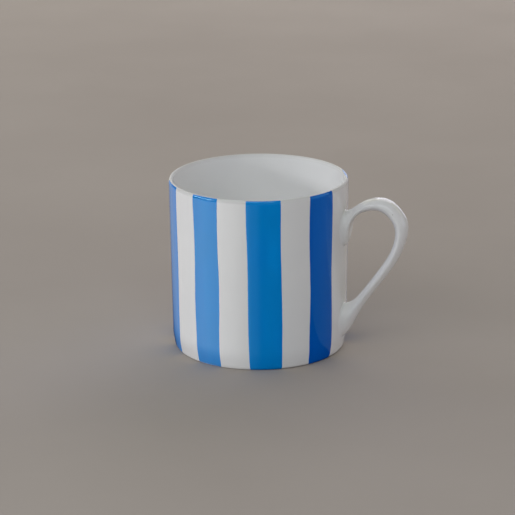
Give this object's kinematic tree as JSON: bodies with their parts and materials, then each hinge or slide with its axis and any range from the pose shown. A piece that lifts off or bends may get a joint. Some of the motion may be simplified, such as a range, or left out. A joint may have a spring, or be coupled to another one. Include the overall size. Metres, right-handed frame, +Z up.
{
  "type": "mug",
  "caption": "Straight-sided ceramic mug with an ear-shaped handle, a recessed foot ring and upright painted stripes, for holding a hot drink.",
  "frame": {"origin": "middle of the whole mug's footprint, handle included, on the surface it stands on; the cup's own axis is 14.4 mm from it towards -X", "axes": "+Z up along the cup's axis, out of its mouth; +X towards the handle, which lies in the plane y = 0"},
  "size_m": [0.1118, 0.0825, 0.08],
  "materials": {
    "white_china": "clear gloss glaze over fine white china",
    "glazed_slip": "clear gloss glaze over joining slip",
    "blue_enamel": "glossy hand-brushed blue enamel"
  },
  "bodies": {
    "root": {"cup_body": "white_china", "handle": "white_china", "upper_slip_joint": "glazed_slip", "lower_slip_joint": "glazed_slip", "blue_stripe_1": "blue_enamel", "blue_stripe_2": "blue_enamel", "blue_stripe_3": "blue_enamel", "blue_stripe_4": "blue_enamel", "blue_stripe_5": "blue_enamel", "blue_stripe_6": "blue_enamel", "blue_stripe_7": "blue_enamel", "blue_stripe_8": "blue_enamel", "blue_stripe_9": "blue_enamel"}
  },
  "joints": []
}
